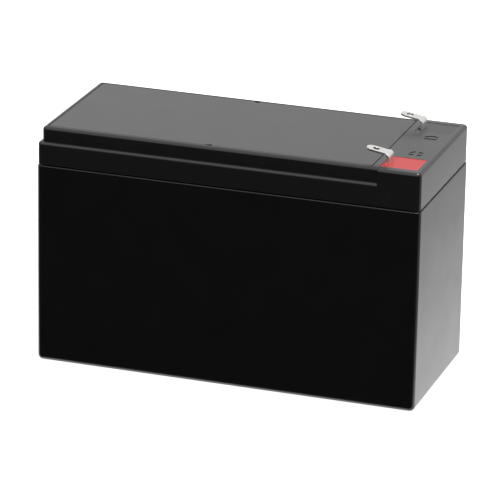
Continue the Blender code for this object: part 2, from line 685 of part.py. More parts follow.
def make_posts(bench):
    """A lead post from each end strap up to its terminal's foot, and the rubber ring round it."""
    bottom = STRAP_TOP + GAP
    shoulder = FOOT_MIDDLE - STRIP_THICKNESS / 2 - GAP
    tenon_top = FOOT_MIDDLE + STRIP_THICKNESS / 2 + POST_TENON_PROUD
    post = [
        (0, tenon_top - bottom),
        (POST_TENON_RADIUS, tenon_top - bottom),
        (POST_TENON_RADIUS, shoulder - bottom),
        (POST_RADIUS, shoulder - bottom),
        (POST_RADIUS, POST_FLANGE_HEIGHT),
        (POST_FLANGE_RADIUS, POST_FLANGE_HEIGHT),
        (POST_FLANGE_RADIUS, 0),
        (0, 0),
    ]
    ring = [
        (SEAL_RADIUS, SEAL_HEIGHT),
        (SEAL_RADIUS, 0),
        (POST_HOLE_RADIUS, 0),
        (POST_HOLE_RADIUS, SEAL_HEIGHT),
    ]
    for side, name in ((-1, "positive"), (1, "negative")):
        bench.turned(f"{name}_post", post, "lead", (WELL_X, side * WELL_Y, bottom))
        place = (WELL_X, side * WELL_Y, SEAL_SEAT + GAP)
        bench.turned(f"{name}_post_seal", ring, "valve_rubber", place, closed=True)


def plate_stack(thickness, first, count):
    """Boxes for like plates standing side by side, the first one's near face at first."""
    half = ELECTRODE_LENGTH / 2
    corners = []
    for index in range(count):
        near = first + index * PAIR_PITCH
        corners.append(((-half, near, PLATE_BOTTOM), (half, near + thickness, PLATE_TOP)))
    return corners


def make_electrodes(bench, polarity, thickness, first, count, side):
    """One cell's plates of one polarity with the strap cast on their lugs, as a mesh to share.

    The strap runs across the cell at its +X end for side 1 and at its -X end for side -1.
    """
    middle = side * (CELL_LENGTH / 2 - GAP - STRAP_LENGTH / 2)
    strap_half = Vector((STRAP_LENGTH / 2, CELL_WIDTH / 2 - GAP, STRAP_THICKNESS / 2))
    strap_middle = Vector((middle, 0, (STRAP_TOP + STRAP_BOTTOM) / 2))
    strap = boxes([(strap_middle - strap_half, strap_middle + strap_half)])
    name = f"{polarity}_plates"
    group = bench.piece(name, mesh_of(name, strap), f"{polarity}_paste")
    plates = plate_stack(thickness, first, count)
    lugs = []
    overlap = STRAP_THICKNESS / 2
    for low, high in plates:
        lug_low = (middle - LUG_WIDTH / 2, low[1], PLATE_TOP - overlap)
        lugs.append((lug_low, (middle + LUG_WIDTH / 2, high[1], STRAP_BOTTOM + overlap)))
    bench.shape(group, "UNION", f"{polarity}_lugs", boxes(lugs))
    bench.shape(group, "UNION", f"{polarity}_grids", boxes(plates))
    mesh = bench.settle(group).data
    bpy.data.objects.remove(group)
    return mesh


def make_separator(bench):
    """One cell's glass mat, folded to and fro between its plates, as a mesh to share."""
    reach = CELL_LENGTH / 2 - GAP - SEPARATOR / 2
    near = -CELL_WIDTH / 2 + GAP + NEGATIVE_PLATE + GAP + SEPARATOR / 2
    past_positive = SEPARATOR + POSITIVE_PLATE + 2 * GAP
    bm = bmesh.new()
    points = []
    for pair in range(PAIRS):
        y = near + pair * PAIR_PITCH
        points += [(-reach, y), (reach, y), (reach, y + past_positive), (-reach, y + past_positive)]
    verts = [bm.verts.new((x, y, PLATE_BOTTOM)) for x, y in points]
    edges = [bm.edges.new(pair) for pair in zip(verts, verts[1:])]
    made = bmesh.ops.extrude_edge_only(bm, edges=edges)
    moved = [item for item in made["geom"] if isinstance(item, bmesh.types.BMVert)]
    top = PLATE_TOP + SEPARATOR_STAND
    bmesh.ops.translate(bm, verts=moved, vec=(0, 0, top - PLATE_BOTTOM))
    mat = bench.piece("separator", mesh_of("separator", bm), "glass_mat")
    sheet = mat.modifiers.new("thickness", "SOLIDIFY")
    sheet.thickness = SEPARATOR
    sheet.offset = 0
    sheet.use_even_offset = True
    mesh = bench.settle(mat).data
    bpy.data.objects.remove(mat)
    return mesh


def make_cells(bench):
    """Plates and separator of each cell, and the weld through each wall between two cells."""
    first_negative = -CELL_WIDTH / 2 + GAP
    first_positive = first_negative + NEGATIVE_PLATE + SEPARATOR + 2 * GAP
    positive = make_electrodes(bench, "positive", POSITIVE_PLATE, first_positive, PAIRS, 1)
    negative = make_electrodes(bench, "negative", NEGATIVE_PLATE, first_negative, PAIRS + 1, -1)
    separator = make_separator(bench)
    for number, (column, row, turn) in enumerate(CELL_PATH, 1):
        place = cell_centre(column, row)
        bench.piece(f"cell_{number}_positive_plates", positive, "positive_paste", place, turn)
        bench.piece(f"cell_{number}_negative_plates", negative, "negative_paste", place, turn)
        bench.piece(f"cell_{number}_separator", separator, "glass_mat", place, turn)
    for number, (middle, along_x) in enumerate(weld_places(), 1):
        bm = bmesh.new()
        add_cylinder(bm, (0, 0, 0), WELD_RADIUS, PARTITION, lying_turn(along_x))
        name = f"intercell_weld_{number}_{number + 1}"
        bench.piece(name, mesh_of(name, bm), "lead", middle)


def main():
    clear_scene()
    bench = Bench()
    make_container(bench)
    make_lid(bench)
    make_cover_plate(bench)
    make_vent_caps(bench)
    make_terminals(bench)
    make_resin(bench, "positive_resin", -1)
    make_resin(bench, "negative_resin", 1)
    make_posts(bench)
    make_cells(bench)


main()
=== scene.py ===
"""Looks of a sealed lead-acid battery, built around its packed parts and laid out as a Blender add-on."""

import math

import bmesh
import bpy
from bpy.props import FloatProperty, FloatVectorProperty, IntProperty, PointerProperty
from mathutils import Matrix, Vector


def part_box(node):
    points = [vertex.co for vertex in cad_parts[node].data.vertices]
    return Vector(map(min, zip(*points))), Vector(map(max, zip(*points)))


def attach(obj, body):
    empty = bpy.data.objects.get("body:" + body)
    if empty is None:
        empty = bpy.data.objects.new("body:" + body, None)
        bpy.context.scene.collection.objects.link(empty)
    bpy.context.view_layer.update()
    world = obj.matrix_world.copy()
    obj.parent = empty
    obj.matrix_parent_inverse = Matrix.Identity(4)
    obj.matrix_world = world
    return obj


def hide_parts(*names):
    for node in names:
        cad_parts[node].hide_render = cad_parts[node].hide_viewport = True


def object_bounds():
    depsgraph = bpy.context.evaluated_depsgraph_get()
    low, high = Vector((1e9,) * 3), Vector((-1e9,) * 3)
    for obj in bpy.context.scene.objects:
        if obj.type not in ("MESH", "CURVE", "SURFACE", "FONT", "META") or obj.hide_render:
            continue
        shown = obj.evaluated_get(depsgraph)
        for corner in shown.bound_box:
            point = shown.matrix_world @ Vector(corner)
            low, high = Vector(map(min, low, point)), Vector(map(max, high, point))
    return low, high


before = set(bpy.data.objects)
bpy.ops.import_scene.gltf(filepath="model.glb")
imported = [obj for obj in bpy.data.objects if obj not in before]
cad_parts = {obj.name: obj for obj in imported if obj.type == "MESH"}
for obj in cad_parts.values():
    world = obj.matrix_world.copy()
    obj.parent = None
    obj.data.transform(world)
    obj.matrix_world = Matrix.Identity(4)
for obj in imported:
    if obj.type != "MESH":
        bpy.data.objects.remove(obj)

bl_info = {
    "name": "Sealed battery",
    "version": (1, 0, 0),
    "blender": (4, 5, 0),
    "location": "3D View > Sidebar > Battery",
    "description": "Models and finishes the outside of a sealed lead-acid battery",
    "category": "Add Mesh",
}

CAD_BOX = [list(corner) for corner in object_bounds()]
BODY = "root"
MM = 0.001
SMOOTH_ANGLE = math.radians(35)  # flatter edges than this are shaded smooth
FLAT_ANGLE = math.radians(0.5)  # faces closer to one plane than this are one face
SAME_POINT = 0.002 * MM
PAST = 4 * MM  # how far a cutter runs past what it cuts
CELLS = range(1, 7)
ROUND_SEGMENTS = 48
RESIN_STEP = 0.25 * MM  # grid of the resin's surface
WHITE = (1, 1, 1, 1)
# The world's light: dark before the battery and bright behind it, and bright from well above
LIGHT_BY_DEPTH = {"From Min": -0.35, "From Max": 0.3, "To Min": 0.02, "To Max": 0.96}
LIGHT_BY_HEIGHT = {"From Min": 0.25, "From Max": 0.65, "To Min": 0.0, "To Max": 1.3}


def linear(code):
    """The linear colour of an sRGB hex code."""
    channels = [int(code[place : place + 2], 16) / 255 for place in (1, 3, 5)]
    return [c / 12.92 if c <= 0.04045 else ((c + 0.055) / 1.055) ** 2.4 for c in channels]


def length_property(name, description, size_mm):
    """A length that the panel shows, given in millimetres and kept in metres."""
    return FloatProperty(
        name=name, description=description, default=size_mm * MM, min=0, unit="LENGTH", precision=5
    )


def angle_property(name, description, degrees):
    """An angle that the panel shows, given in degrees."""
    angle = math.radians(degrees)
    return FloatProperty(name=name, description=description, default=angle, subtype="ANGLE")


def colour_property(name, description, code):
    """A colour that the panel shows, given as an sRGB hex code."""
    return FloatVectorProperty(
        name=name, description=description, default=linear(code), min=0, max=1, subtype="COLOR"
    )


def place_property(name, description, place):
    """A place that the panel shows, in metres."""
    return FloatVectorProperty(name=name, description=description, default=place, unit="LENGTH")


def amount_property(name, description, amount):
    """A plain number that the panel shows."""
    return FloatProperty(name=name, description=description, default=amount, min=0)


class BatterySizes(bpy.types.PropertyGroup):
    """Sizes that the packed parts' boxes don't give."""

    clearance: length_property("Clearance", "Gap between neighbouring pieces", 0.3)
    case_edge: length_property("Case edge", "Radius of the container's upright and bottom edges", 2.1)
    rim_edge: length_property("Rim edge", "Radius of the container's and lid's rims along the seam", 0.35)
    ledge_height: length_property("Ledge height", "Height of the lid's lower band", 9.0)
    ledge_depth: length_property("Ledge depth", "Step between the lid's two bands", 1.4)
    ledge_edge: length_property("Ledge edge", "Radius of the ledge's outer edge", 1.2)
    terminal_block: length_property("Terminal block", "Length of the lid's full-width end", 16.65)
    band_corner: length_property("Band corner", "Radius of the upper band's upright corners", 1.6)
    lid_edge: length_property("Lid edge", "Radius of the lid's top edges", 1.25)
    opening_edge: length_property("Opening edge", "Radius of the rims of recess and wells", 0.15)
    lip_wall: length_property("Lip wall", "Thickness of the lips under the lid", 1.2)
    pocket: length_property("Pocket", "Head room over each cell above the glue line", 3.0)
    plate_shelf: length_property("Plate shelf", "Width of the shelf that carries the cover plate", 1.4)
    plate_corner: length_property("Plate corner", "Radius of the cover plate's corners", 1.0)
    plate_edge: length_property("Plate edge", "Radius of the cover plate's top edges", 0.2)
    notch: length_property("Notch", "Radius of the cover plate's pry notches", 1.2)
    neck: length_property("Neck", "Radius of each vent neck", 4.0)
    vent_bore: length_property("Vent bore", "Radius of each vent's bore", 2.0)
    cap_roof: length_property("Cap roof", "Thickness of a valve cap's top", 1.4)
    post: length_property("Post", "Radius of the lead posts", 3.0)
    well_corner: length_property("Well corner", "Radius of the wells' corners", 0.6)
    resin_drop: length_property("Resin drop", "From the lid's top down to the resin", 0.18)
    meniscus: length_property("Meniscus", "How far the resin climbs where it meets a wall", 0.1)
    meniscus_reach: length_property("Meniscus reach", "How far from a wall the resin bends up", 0.45)
    leg_climb: amount_property("Leg climb", "Share of the climb that the resin makes at the leg", 0.8)
    drip: length_property("Drip", "Height of the drop of red resin that set at the leg's near corner", 0.6)
    drip_reach: length_property("Drip reach", "How far the drop spreads", 0.8)
    drip_aside: length_property("Drip aside", "From the leg's corner to the drop, along X", 0.35)
    drip_along: length_property("Drip along", "From the leg's corner to the drop, along Y", 0.6)
    bubble: length_property("Bubble", "Half the width of the burst bubble in the black resin", 0.75)
    bubble_stretch: amount_property("Bubble stretch", "Length of the bubble over its width", 1.5)
    bubble_aside: length_property("Bubble aside", "From the leg's middle to the bubble's", 1.0)
    bubble_along: length_property("Bubble along", "From the leg's near edge to the bubble's middle", 0.7)
    mark: length_property("Mark", "Radius of the polarity marks", 2.8)
    mark_shift: length_property("Mark shift", "From the wells' middle to the marks', along X", 1.1)
    mark_bar: length_property("Mark bar", "Width of the bars left standing in the marks", 1.3)
    mark_depth: length_property("Mark depth", "Depth of the marks", 0.2)


class TerminalSizes(bpy.types.PropertyGroup):
    """Sizes of the two bent strips."""

    thickness: length_property("Thickness", "Thickness of the strip", 0.8)
    bend: length_property("Bend", "Radius of the strip's middle line in its bends", 1.5)
    tab: length_property("Tab", "Width of the tab", 4.75)
    leg: length_property("Leg", "Width of the leg", 6.3)
    foot: length_property("Foot", "Width of the foot", 8.0)
    reach: length_property("Reach", "From the leg to the tip of the tab", 9.15)
    shoulder: length_property("Shoulder", "From the leg to where the tab begins", 1.6)
    tip_corner: length_property("Tip corner", "Radius of the tip's corners", 2.3)
    foot_corner: length_property("Foot corner", "Radius of the foot's corners", 1.0)
    sheared_edge: length_property("Sheared edge", "Radius that shearing leaves on the edges", 0.3)
    tab_hole: length_property("Tab hole", "Radius of the hole in the tab", 1.3)
    tab_hole_setback: length_property("Tab hole setback", "From the tip to the tab's hole", 3.6)
    leg_hole: length_property("Leg hole", "Radius of the hole in the leg", 0.8)
    leg_hole_drop: length_property("Leg hole drop", "From the lid's top down to the leg's hole", 1.7)
    post_hole: length_property("Post hole", "Radius of the hole in the foot", 2.3)
    leg_rise: length_property("Leg rise", "From the lid's top to the upper bend", 1.87)
    tilt: angle_property("Tilt", "Rise of the tab", 9.35)
    bend_segments: IntProperty(name="Bend segments", description="Facets of each bend", default=12, min=2)


class BatteryColours(bpy.types.PropertyGroup):
    """Base colours of the finishes."""

    container: colour_property("Container", "Black ABS of the container", "#030303")
    lid: colour_property("Lid", "Black ABS of the lid and its plate", "#0B0B0B")
    red_resin: colour_property("Red resin", "Epoxy round the positive terminal", "#C81E1E")
    black_resin: colour_property("Black resin", "Epoxy round the negative terminal", "#2C2C2D")
    tin_plate: colour_property("Tin plate", "Plating of the terminals", "#D6D5D3")
    lead: colour_property("Lead", "Posts and welds", "#83868A")
    positive_paste: colour_property("Positive paste", "Lead dioxide of the positive plates", "#4A2E22")
    negative_paste: colour_property("Negative paste", "Sponge lead of the negative plates", "#73757A")
    glass_mat: colour_property("Glass mat", "Separators", "#ECECE8")
    valve_rubber: colour_property("Valve rubber", "Vent caps and post seals", "#1C1C1C")
    floor: colour_property("Floor", "Studio floor", "#F7F7F7")


class StudioSettings(bpy.types.PropertyGroup):
    """Camera and light."""

    azimuth: angle_property("Azimuth", "Camera's turn to the right of the battery's front", 18.379)
    elevation: angle_property("Elevation", "Camera's angle above the floor", 19.869)
    roll: angle_property("Roll", "Camera's turn about its own axis", 1.047)
    distance: length_property("Distance", "From the camera to its target", 1446.4)
    target: place_property("Target", "What the camera looks at", (-0.0008, 0, 0.04379))
    lens: amount_property("Lens", "Focal length in millimetres", 272.1)
    floor_size: length_property("Floor size", "Length of the floor's sides", 12000)
    floor_glow: amount_property("Floor glow", "Light that the floor gives off by itself", 0.8)
    paper_margin: length_property("Paper margin", "How far the paper shows before the battery", 0.8)
    paper_reach: length_property("Paper reach", "How far the paper runs to the sides and back", 1000)
    paper_lift: length_property("Paper lift", "How far the paper lies above the floor", 0.04)
    paper_fade: length_property("Paper fade", "How far beside the battery the paper fades", 85)
    paper_near: amount_property("Paper near", "Brightness beside the battery", 1.9)
    paper_far: amount_property("Paper far", "Brightness where it has faded", 0.6)
    lamp: length_property("Lamp", "Radius of the lamp that gives the glints", 60)
    lamp_place: place_property("Lamp place", "Middle of the lamp", (0.2, -0.09, 0.68))
    lamp_strength: amount_property("Lamp strength", "Brightness of the lamp", 130)
    world_lean: angle_property("World lean", "Turn about X that leans the light from above forwards", -19)


def grown(box, margin):
    """The two corners of a box, moved out by a margin."""
    low, high = box
    edge = Vector((margin, margin, margin))
    return low - edge, high + edge


def middle_of(box):
    """The middle of a box."""
    return (box[0] + box[1]) / 2


def cell_box(number, clearance):
    """The room inside a cell, from its plates and the gap around them."""
    boxes = [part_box(f"cell_{number}_{kind}_plates") for kind in ("positive", "negative")]
    low = Vector(map(min, boxes[0][0], boxes[1][0]))
    high = Vector(map(max, boxes[0][1], boxes[1][1]))
    return grown((low, high), clearance)


def add_box(bm, low, high):
    """Adds a box between two corners."""
    size = Vector(high) - Vector(low)
    place = Matrix.Translation((Vector(low) + Vector(high)) / 2) @ Matrix.Diagonal((*size, 1))
    bmesh.ops.create_cube(bm, size=1, matrix=place)


def add_cylinder(bm, centre, radius, length, turn=None):
    """Adds a cylinder that stands along Z, or along another axis when it is turned."""
    bmesh.ops.create_cone(
        bm,
        cap_ends=True,
        segments=ROUND_SEGMENTS,
        radius1=radius,
        radius2=radius,
        depth=length,
        matrix=Matrix.Translation(centre) @ (turn or Matrix()),
    )


def add_upright(bm, centre, radius, bottom, top):
    """Adds a standing cylinder between two heights."""
    add_cylinder(bm, (centre[0], centre[1], (bottom + top) / 2), radius, top - bottom)


def add_face(bm, corners):
    """Adds one flat face through a few points."""
    return bm.faces.new([bm.verts.new(corner) for corner in corners])


def round_edges(bm, edges, radius, segments):
    """Rounds edges of a solid."""
    bmesh.ops.bevel(
        bm,
        geom=edges,
        offset=radius,
        segments=segments,
        profile=0.5,
        affect="EDGES",
        clamp_overlap=True,
        material=-1,
    )


def round_corners(bm, verts, radius, segments):
    """Rounds corners of a flat face."""
    bmesh.ops.bevel(
        bm,
        geom=verts,
        offset=radius,
        segments=segments,
        profile=0.5,
        affect="VERTICES",
        material=-1,
    )


def raise_face(bm, face, height):
    """Extrudes a face along Z."""
    made = bmesh.ops.extrude_face_region(bm, geom=[face])["geom"]
    moved = [item for item in made if isinstance(item, bmesh.types.BMVert)]
    bmesh.ops.translate(bm, verts=moved, vec=(0, 0, height))


def is_upright(edge):
    """Whether an edge stands along Z."""
    across = edge.verts[0].co - edge.verts[1].co
    return math.hypot(across.x, across.y) < SAME_POINT


def lies_at(edge, height):
    """Whether a whole edge lies at one height."""
    return all(abs(vert.co.z - height) < SAME_POINT for vert in edge.verts)


def is_ridge(edge):
    """Whether an edge is sharp and stands out from the solid."""
    return edge.is_manifold and edge.calc_face_angle_signed(0) > SMOOTH_ANGLE


def clean(bm):
    """Merges doubled points and faces that share a plane, and turns every face outwards."""
    bmesh.ops.remove_doubles(bm, verts=bm.verts, dist=SAME_POINT)
    bmesh.ops.dissolve_limit(bm, angle_limit=FLAT_ANGLE, verts=bm.verts, edges=bm.edges)
    bmesh.ops.recalc_face_normals(bm, faces=bm.faces)


def add_object(name, bm):
    """Turns a bmesh into an object of the scene and frees it."""
    mesh = bpy.data.meshes.new(name)
    bm.to_mesh(mesh)
    bm.free()
    made = bpy.data.objects.new(name, mesh)
    bpy.context.scene.collection.objects.link(made)
    return made


def combine(bm, steps):
    """Applies Boolean steps, each an operation and a mesh, and returns the cleaned result."""
    body = add_object("body", bm)
    helpers = []
    for operation, shape in steps:
        bmesh.ops.recalc_face_normals(shape, faces=shape.faces)
        helper = add_object("helper", shape)
        helpers.append(helper)
        modifier = body.modifiers.new("step", "BOOLEAN")
        modifier.operation = operation
        modifier.object = helper
    bpy.context.view_layer.update()
    result = bmesh.new()
    graph = bpy.context.evaluated_depsgraph_get()
    result.from_object(body, graph)
    for used in (body, *helpers):
        mesh = used.data
        bpy.data.objects.remove(used)
        bpy.data.meshes.remove(mesh)
    clean(result)
    return result


def merged_copy(node):
    """A CAD node's shape with its loose triangles joined."""
    bm = bmesh.new()
    bm.from_mesh(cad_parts[node].data)
    bmesh.ops.remove_doubles(bm, verts=bm.verts, dist=SAME_POINT)
    return bm


def finish_piece(name, bm, material, slot, *nodes):
    """Turns a bmesh into a smooth-shaded piece that stands for CAD nodes."""
    if not all(edge.is_manifold for edge in bm.edges):
        raise ValueError(f"{name} isn't closed")
    piece = add_object(name, bm)
    piece.data.materials.append(material)
    piece.data.shade_smooth()
    piece.data.set_sharp_from_angle(angle=SMOOTH_ANGLE)
    weighted = piece.modifiers.new("flat faces stay flat", "WEIGHTED_NORMAL")
    weighted.keep_sharp = True
    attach(piece, BODY)
    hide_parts(*nodes)


def add_node(tree, kind, links=None, inputs=None, **settings):
    """Adds a node with its settings, the values of its sockets and the links into them."""
    node = tree.nodes.new(kind)
    for name, value in settings.items():
        setattr(node, name, value)
    for name, value in (inputs or {}).items():
        node.inputs[name].default_value = value
    for name, source in (links or {}).items():
        tree.links.new(source, node.inputs[name])
    return node


def new_material(name, colour, roughness, **sockets):
    """A Principled material, its node tree and its shader."""
    made = bpy.data.materials.new(name)
    made.use_nodes = True
    shader = made.node_tree.nodes["Principled BSDF"]
    shader.inputs["Base Color"].default_value = (*colour, 1)
    shader.inputs["Roughness"].default_value = roughness
    for socket, value in sockets.items():
        shader.inputs[socket.replace("_", " ")].default_value = value
    made.diffuse_color = (*colour, 1)
    return made, made.node_tree, shader


def add_grain(tree, grain, stretch=(1, 1, 1), detail=3, offset=(0, 0, 0)):
    """A noise whose lumps are one grain across, drawn out by the stretch."""
    place = add_node(tree, "ShaderNodeTexCoord")
    spread = add_node(
        tree,
        "ShaderNodeMapping",
        links={"Vector": place.outputs["Object"]},
        inputs={"Scale": [1 / s for s in stretch], "Location": offset},
    )
    return add_node(
        tree,
        "ShaderNodeTexNoise",
        links={"Vector": spread.outputs["Vector"]},
        inputs={"Scale": 1 / grain, "Detail": detail, "Roughness": 0.55},
    )


def vary_roughness(tree, shader, pattern, low, high):
    """Lets the gloss follow a pattern, whose values seldom leave 0.3 to 0.7."""
    ramp = add_node(
        tree,
        "ShaderNodeMapRange",
        links={"Value": pattern.outputs["Fac"]},
        inputs={"From Min": 0.3, "From Max": 0.7, "To Min": low, "To Max": high},
    )
    tree.links.new(ramp.outputs["Result"], shader.inputs["Roughness"])


def shaded(colour, share):
    """A colour made darker or lighter by a share."""
    return [min(1, channel * share) for channel in colour]


def vary_colour(tree, shader, pattern, first, second):
    """Lets the colour follow a pattern from one colour to another."""
    mix = add_node(tree, "ShaderNodeMix", links={"Factor": pattern.outputs["Fac"]}, data_type="RGBA")
    ends = [socket for socket in mix.inputs if socket.type == "RGBA"]
    ends[0].default_value = (*first, 1)
    ends[1].default_value = (*second, 1)
    result = next(socket for socket in mix.outputs if socket.type == "RGBA")
    tree.links.new(result, shader.inputs["Base Color"])


def add_bump(tree, shader, height, depth, before=None):
    """Raises the surface by a pattern, on top of an earlier bump if there is one."""
    links = {"Height": height}
    if before:
        links["Normal"] = before.outputs["Normal"]
    bump = add_node(tree, "ShaderNodeBump", links=links, inputs={"Distance": depth, "Strength": 1})
    tree.links.new(bump.outputs["Normal"], shader.inputs["Normal"])
    return bump


def moulded_abs(name, colour, roughness, cloud):
    """Injection-moulded black ABS: satin, with a faint orange peel and slightly uneven gloss."""
    material, tree, shader = new_material(name, colour, roughness, IOR=1.54)
    peel = add_grain(tree, grain=0.9 * MM, detail=2)
    gloss = add_grain(tree, grain=cloud, detail=3, offset=(0.3, 0.1, 0))
    unevenness = 0.015
    vary_roughness(tree, shader, gloss, low=roughness - unevenness, high=roughness + unevenness)
    add_bump(tree, shader, peel.outputs["Fac"], depth=0.004 * MM)
    return material


def cast_epoxy(name, colour):
    """Potting epoxy poured into the wells: a wet-looking skin over an opaque, slightly cloudy body."""
    material, tree, shader = new_material(name, colour, roughness=0.39, IOR=1.53)
    cloud = add_grain(tree, grain=3.5 * MM, detail=3)
    vary_colour(tree, shader, cloud, first=shaded(colour, 0.92), second=shaded(colour, 1.06))
    ripple = add_grain(tree, grain=2.2 * MM, detail=1, offset=(0.2, 0, 0))
    add_bump(tree, shader, ripple.outputs["Fac"], depth=0.02 * MM)
    return material


def tin_plate(colour):
    """Bright tin plating on stamped brass: a soft mirror with rolling lines along the strip.

    The lines are drawn coarser than real ones, so that they show.
    """
    material, tree, shader = new_material("bright_tin_plate", colour, roughness=0.36, Metallic=1.0)
    lines = add_grain(tree, grain=0.12 * MM, stretch=(30, 1, 30), detail=2)
    bloom = add_grain(tree, grain=1.4 * MM, detail=3, offset=(0.1, 0, 0))
    vary_roughness(tree, shader, bloom, low=0.3, high=0.42)
    rolled = add_bump(tree, shader, lines.outputs["Fac"], depth=0.002 * MM)
    add_bump(tree, shader, bloom.outputs["Fac"], depth=0.006 * MM, before=rolled)
    return material


def cast_lead(colour):
    """Cast lead: dull blue-grey metal with a soft skin and patches of oxide."""
    material, tree, shader = new_material("cast_lead", colour, roughness=0.45, Metallic=1.0)
    oxide = add_grain(tree, grain=1.1 * MM, detail=4)
    vary_colour(tree, shader, oxide, first=shaded(colour, 0.6), second=colour)
    vary_roughness(tree, shader, oxide, low=0.35, high=0.6)
    add_bump(tree, shader, oxide.outputs["Fac"], depth=0.02 * MM)
    return material


def plate_paste(name, colour):
    """Paste pressed into a lead grid: a dry, crumbly, matt surface."""
    material, tree, shader = new_material(name, colour, roughness=0.88)
    crumb = add_grain(tree, grain=0.35 * MM, detail=5)
    vary_colour(tree, shader, crumb, first=shaded(colour, 0.55), second=shaded(colour, 1.3))
    add_bump(tree, shader, crumb.outputs["Fac"], depth=0.05 * MM)
    return material


def glass_mat(colour):
    """Absorbent glass mat: a white felt of fine fibres, matt with a slight sheen.

    The fibres are drawn coarser than real ones, so that they show.
    """
    material, tree, shader = new_material("glass_fibre_mat", colour, roughness=0.95, Sheen_Weight=0.3)
    fibres = add_grain(tree, grain=0.15 * MM, stretch=(6, 6, 1), detail=4)
    vary_colour(tree, shader, fibres, first=shaded(colour, 0.85), second=colour)
    add_bump(tree, shader, fibres.outputs["Fac"], depth=0.03 * MM)
    return material


def valve_rubber(colour):
    """Moulded black rubber: matt, with a fine dusty skin."""
    material, tree, shader = new_material("moulded_rubber", colour, roughness=0.7)
    skin = add_grain(tree, grain=0.25 * MM, detail=3)
    vary_roughness(tree, shader, skin, low=0.6, high=0.8)
    add_bump(tree, shader, skin.outputs["Fac"], depth=0.01 * MM)
    return material


class BATTERY_OT_container(bpy.types.Operator):
    """Model the container: six cells in a box with rounded edges"""

    bl_idname = "battery.container"
    bl_label = "Container"

    def execute(self, context):
        sizes = context.scene.battery_sizes
        low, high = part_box("container")
        bm = bmesh.new()
        add_box(bm, low, high)
        edges = [edge for edge in bm.edges if is_upright(edge) or lies_at(edge, low.z)]
        round_edges(bm, edges, sizes.case_edge, segments=8)
        rim = [edge for edge in bm.edges if lies_at(edge, high.z)]
        round_edges(bm, rim, sizes.rim_edge, segments=4)
        cells = bmesh.new()
        for number in CELLS:
            cell_low, cell_high = cell_box(number, sizes.clearance)
            add_box(cells, cell_low, (*cell_high.xy, high.z + PAST))
        holes = bmesh.new()
        for number in CELLS[:-1]:
            weld_low, weld_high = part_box(f"intercell_weld_{number}_{number + 1}")
            size = weld_high - weld_low
            turn = Matrix.Rotation(math.pi / 2, 4, "Y" if size.x < size.y else "X")
            centre = middle_of((weld_low, weld_high))
            add_cylinder(holes, centre, size.z / 2 + sizes.clearance, min(size) + PAST, turn)
        bm = combine(bm, [("DIFFERENCE", cells), ("DIFFERENCE", holes)])
        colour = context.scene.battery_colours.container
        material = moulded_abs("moulded_abs_container", colour, roughness=0.3, cloud=14 * MM)
        finish_piece("container_shell", bm, material, "case_plastic", "container")
        return {"FINISHED"}


def prism(low, high, corner, rounded_ends, rim):
    """A box with its top rim rounded, and its upright edges too at the X places that are named."""
    bm = bmesh.new()
    add_box(bm, low, high)
    uprights = [edge for edge in bm.edges if is_upright(edge)]
    rounded = []
    for x in rounded_ends:
        rounded += [edge for edge in uprights if abs(edge.verts[0].co.x - x) < SAME_POINT]
    round_edges(bm, rounded, corner, segments=8)
    top_edges = [edge for edge in bm.edges if lies_at(edge, high[2])]
    round_edges(bm, top_edges, rim, segments=6)
    return bm


def lid_blank(sizes, low, high, glue_line):
    """The lid's outside: a low wide band, an upper band set back from it, and the terminal block."""
    ledge_end = high.x - sizes.terminal_block
    # The lid is narrower than the container, and their rounded corners share a middle
    corner = sizes.case_edge - (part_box("container")[1].y - high.y)
    in_x = low.x + sizes.ledge_depth
    in_y = high.y - sizes.ledge_depth
    ledge = glue_line + sizes.ledge_height
    lower = prism((*low.xy, glue_line), (*high.xy, ledge), corner, (low.x, high.x), sizes.ledge_edge)
    upper = prism(
        (in_x, -in_y, glue_line),
        (high.x - sizes.terminal_block / 2, in_y, high.z),
        sizes.band_corner,
        (in_x,),
        sizes.lid_edge,
    )
    block = prism((ledge_end, low.y, glue_line), high, corner, (high.x,), sizes.lid_edge)
    blank = combine(lower, [("UNION", upper), ("UNION", block)])
    seam = [edge for edge in blank.edges if lies_at(edge, glue_line)]
    round_edges(blank, seam, sizes.rim_edge, segments=4)
    return blank


def well_shape(sizes, box, bottom, top):
    """A well's room: a box with rounded upright corners."""
    bm = bmesh.new()
    add_box(bm, (*box[0].xy, bottom), (*box[1].xy, top))
    uprights = [edge for edge in bm.edges if is_upright(edge)]
    round_edges(bm, uprights, sizes.well_corner, segments=6)
    return bm


def well_box(name, clearance):
    """A well's room, from its resin and the gap around it."""
    return grown(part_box(f"{name}_resin"), clearance)


def mark_shape(sizes, name, top):
    """What is sunk for a polarity mark: a disc round a standing bar, or round a standing cross."""
    low, high = well_box(name, sizes.clearance)
    side = math.copysign(1, low.y)
    inner_wall = min(abs(low.y), abs(high.y))
    x = (low.x + high.x) / 2 + sizes.mark_shift
    y = side * (inner_wall - 2 * sizes.mark)
    disc = bmesh.new()
    add_upright(disc, (x, y), sizes.mark, top - sizes.mark_depth, top + PAST)
    reach = sizes.mark + PAST
    bars = [(reach, sizes.mark_bar / 2)]
    if name == "positive":
        bars.append((sizes.mark_bar / 2, reach))
    steps = []
    for half_x, half_y in bars:
        bar = bmesh.new()
        add_box(bar, (x - half_x, y - half_y, top - PAST), (x + half_x, y + half_y, top + 2 * PAST))
        steps.append(("DIFFERENCE", bar))
    return combine(disc, steps)


